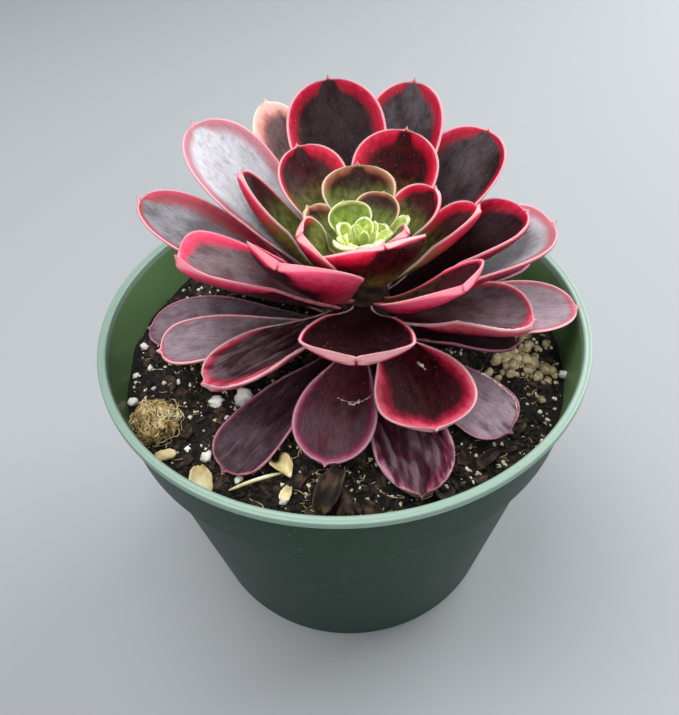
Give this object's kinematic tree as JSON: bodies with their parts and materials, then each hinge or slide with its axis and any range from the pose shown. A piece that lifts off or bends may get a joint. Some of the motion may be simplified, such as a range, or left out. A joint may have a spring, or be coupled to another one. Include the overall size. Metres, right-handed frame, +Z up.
{
  "type": "potted aeonium",
  "caption": "Rosette succulent with dark, fleshy, cupped leaves on a short stem, rooted in potting mix in a tapered round nursery pot.",
  "frame": {"origin": "middle of the pot's flat base, on the surface that it stands on", "axes": "+Z up along the pot's axis; -Y towards the front of the plant, +X to its right"},
  "size_m": [0.114, 0.114, 0.1223],
  "materials": {
    "pot_plastic": "satin",
    "potting_mix": "matte",
    "stem": "matte",
    "young_leaf": "satin",
    "inner_leaf": "satin",
    "outer_leaf": "satin",
    "old_leaf": "matte",
    "perlite": "matte",
    "pumice": "matte",
    "husk": "matte"
  },
  "bodies": {
    "root": {"pot": "pot_plastic", "soil": "potting_mix", "stem": "stem", "bud_leaf_1": "young_leaf", "bud_leaf_2": "young_leaf", "bud_leaf_3": "young_leaf", "bud_leaf_4": "young_leaf", "bud_leaf_5": "young_leaf", "bud_leaf_6": "young_leaf", "bud_leaf_7": "young_leaf", "bud_leaf_8": "young_leaf", "inner_leaf_1": "inner_leaf", "inner_leaf_2": "inner_leaf", "inner_leaf_3": "inner_leaf", "inner_leaf_4": "inner_leaf", "inner_leaf_5": "inner_leaf", "inner_leaf_6": "inner_leaf", "inner_leaf_7": "inner_leaf", "inner_leaf_8": "inner_leaf", "inner_leaf_9": "inner_leaf", "inner_leaf_10": "inner_leaf", "inner_leaf_11": "inner_leaf", "inner_leaf_12": "inner_leaf", "upper_leaf_1": "outer_leaf", "upper_leaf_2": "outer_leaf", "upper_leaf_3": "outer_leaf", "upper_leaf_4": "outer_leaf", "upper_leaf_5": "outer_leaf", "upper_leaf_6": "outer_leaf", "upper_leaf_7": "outer_leaf", "upper_leaf_8": "outer_leaf", "upper_leaf_9": "outer_leaf", "upper_leaf_10": "outer_leaf", "upper_leaf_11": "outer_leaf", "lower_leaf_1": "outer_leaf", "lower_leaf_2": "outer_leaf", "lower_leaf_3": "outer_leaf", "lower_leaf_4": "outer_leaf", "lower_leaf_5": "outer_leaf", "lower_leaf_6": "outer_leaf", "lower_leaf_7": "outer_leaf", "lower_leaf_8": "outer_leaf", "lower_leaf_9": "outer_leaf", "lower_leaf_10": "outer_leaf", "old_leaf_1": "old_leaf", "old_leaf_2": "old_leaf", "old_leaf_3": "old_leaf", "old_leaf_4": "old_leaf", "old_leaf_5": "old_leaf", "old_leaf_6": "old_leaf", "old_leaf_7": "old_leaf", "old_leaf_8": "old_leaf", "old_leaf_9": "old_leaf", "old_leaf_10": "old_leaf", "perlite_chip_1": "perlite", "perlite_chip_2": "perlite", "pumice_chip_1": "pumice", "seed_husk": "husk"}
  },
  "joints": []
}
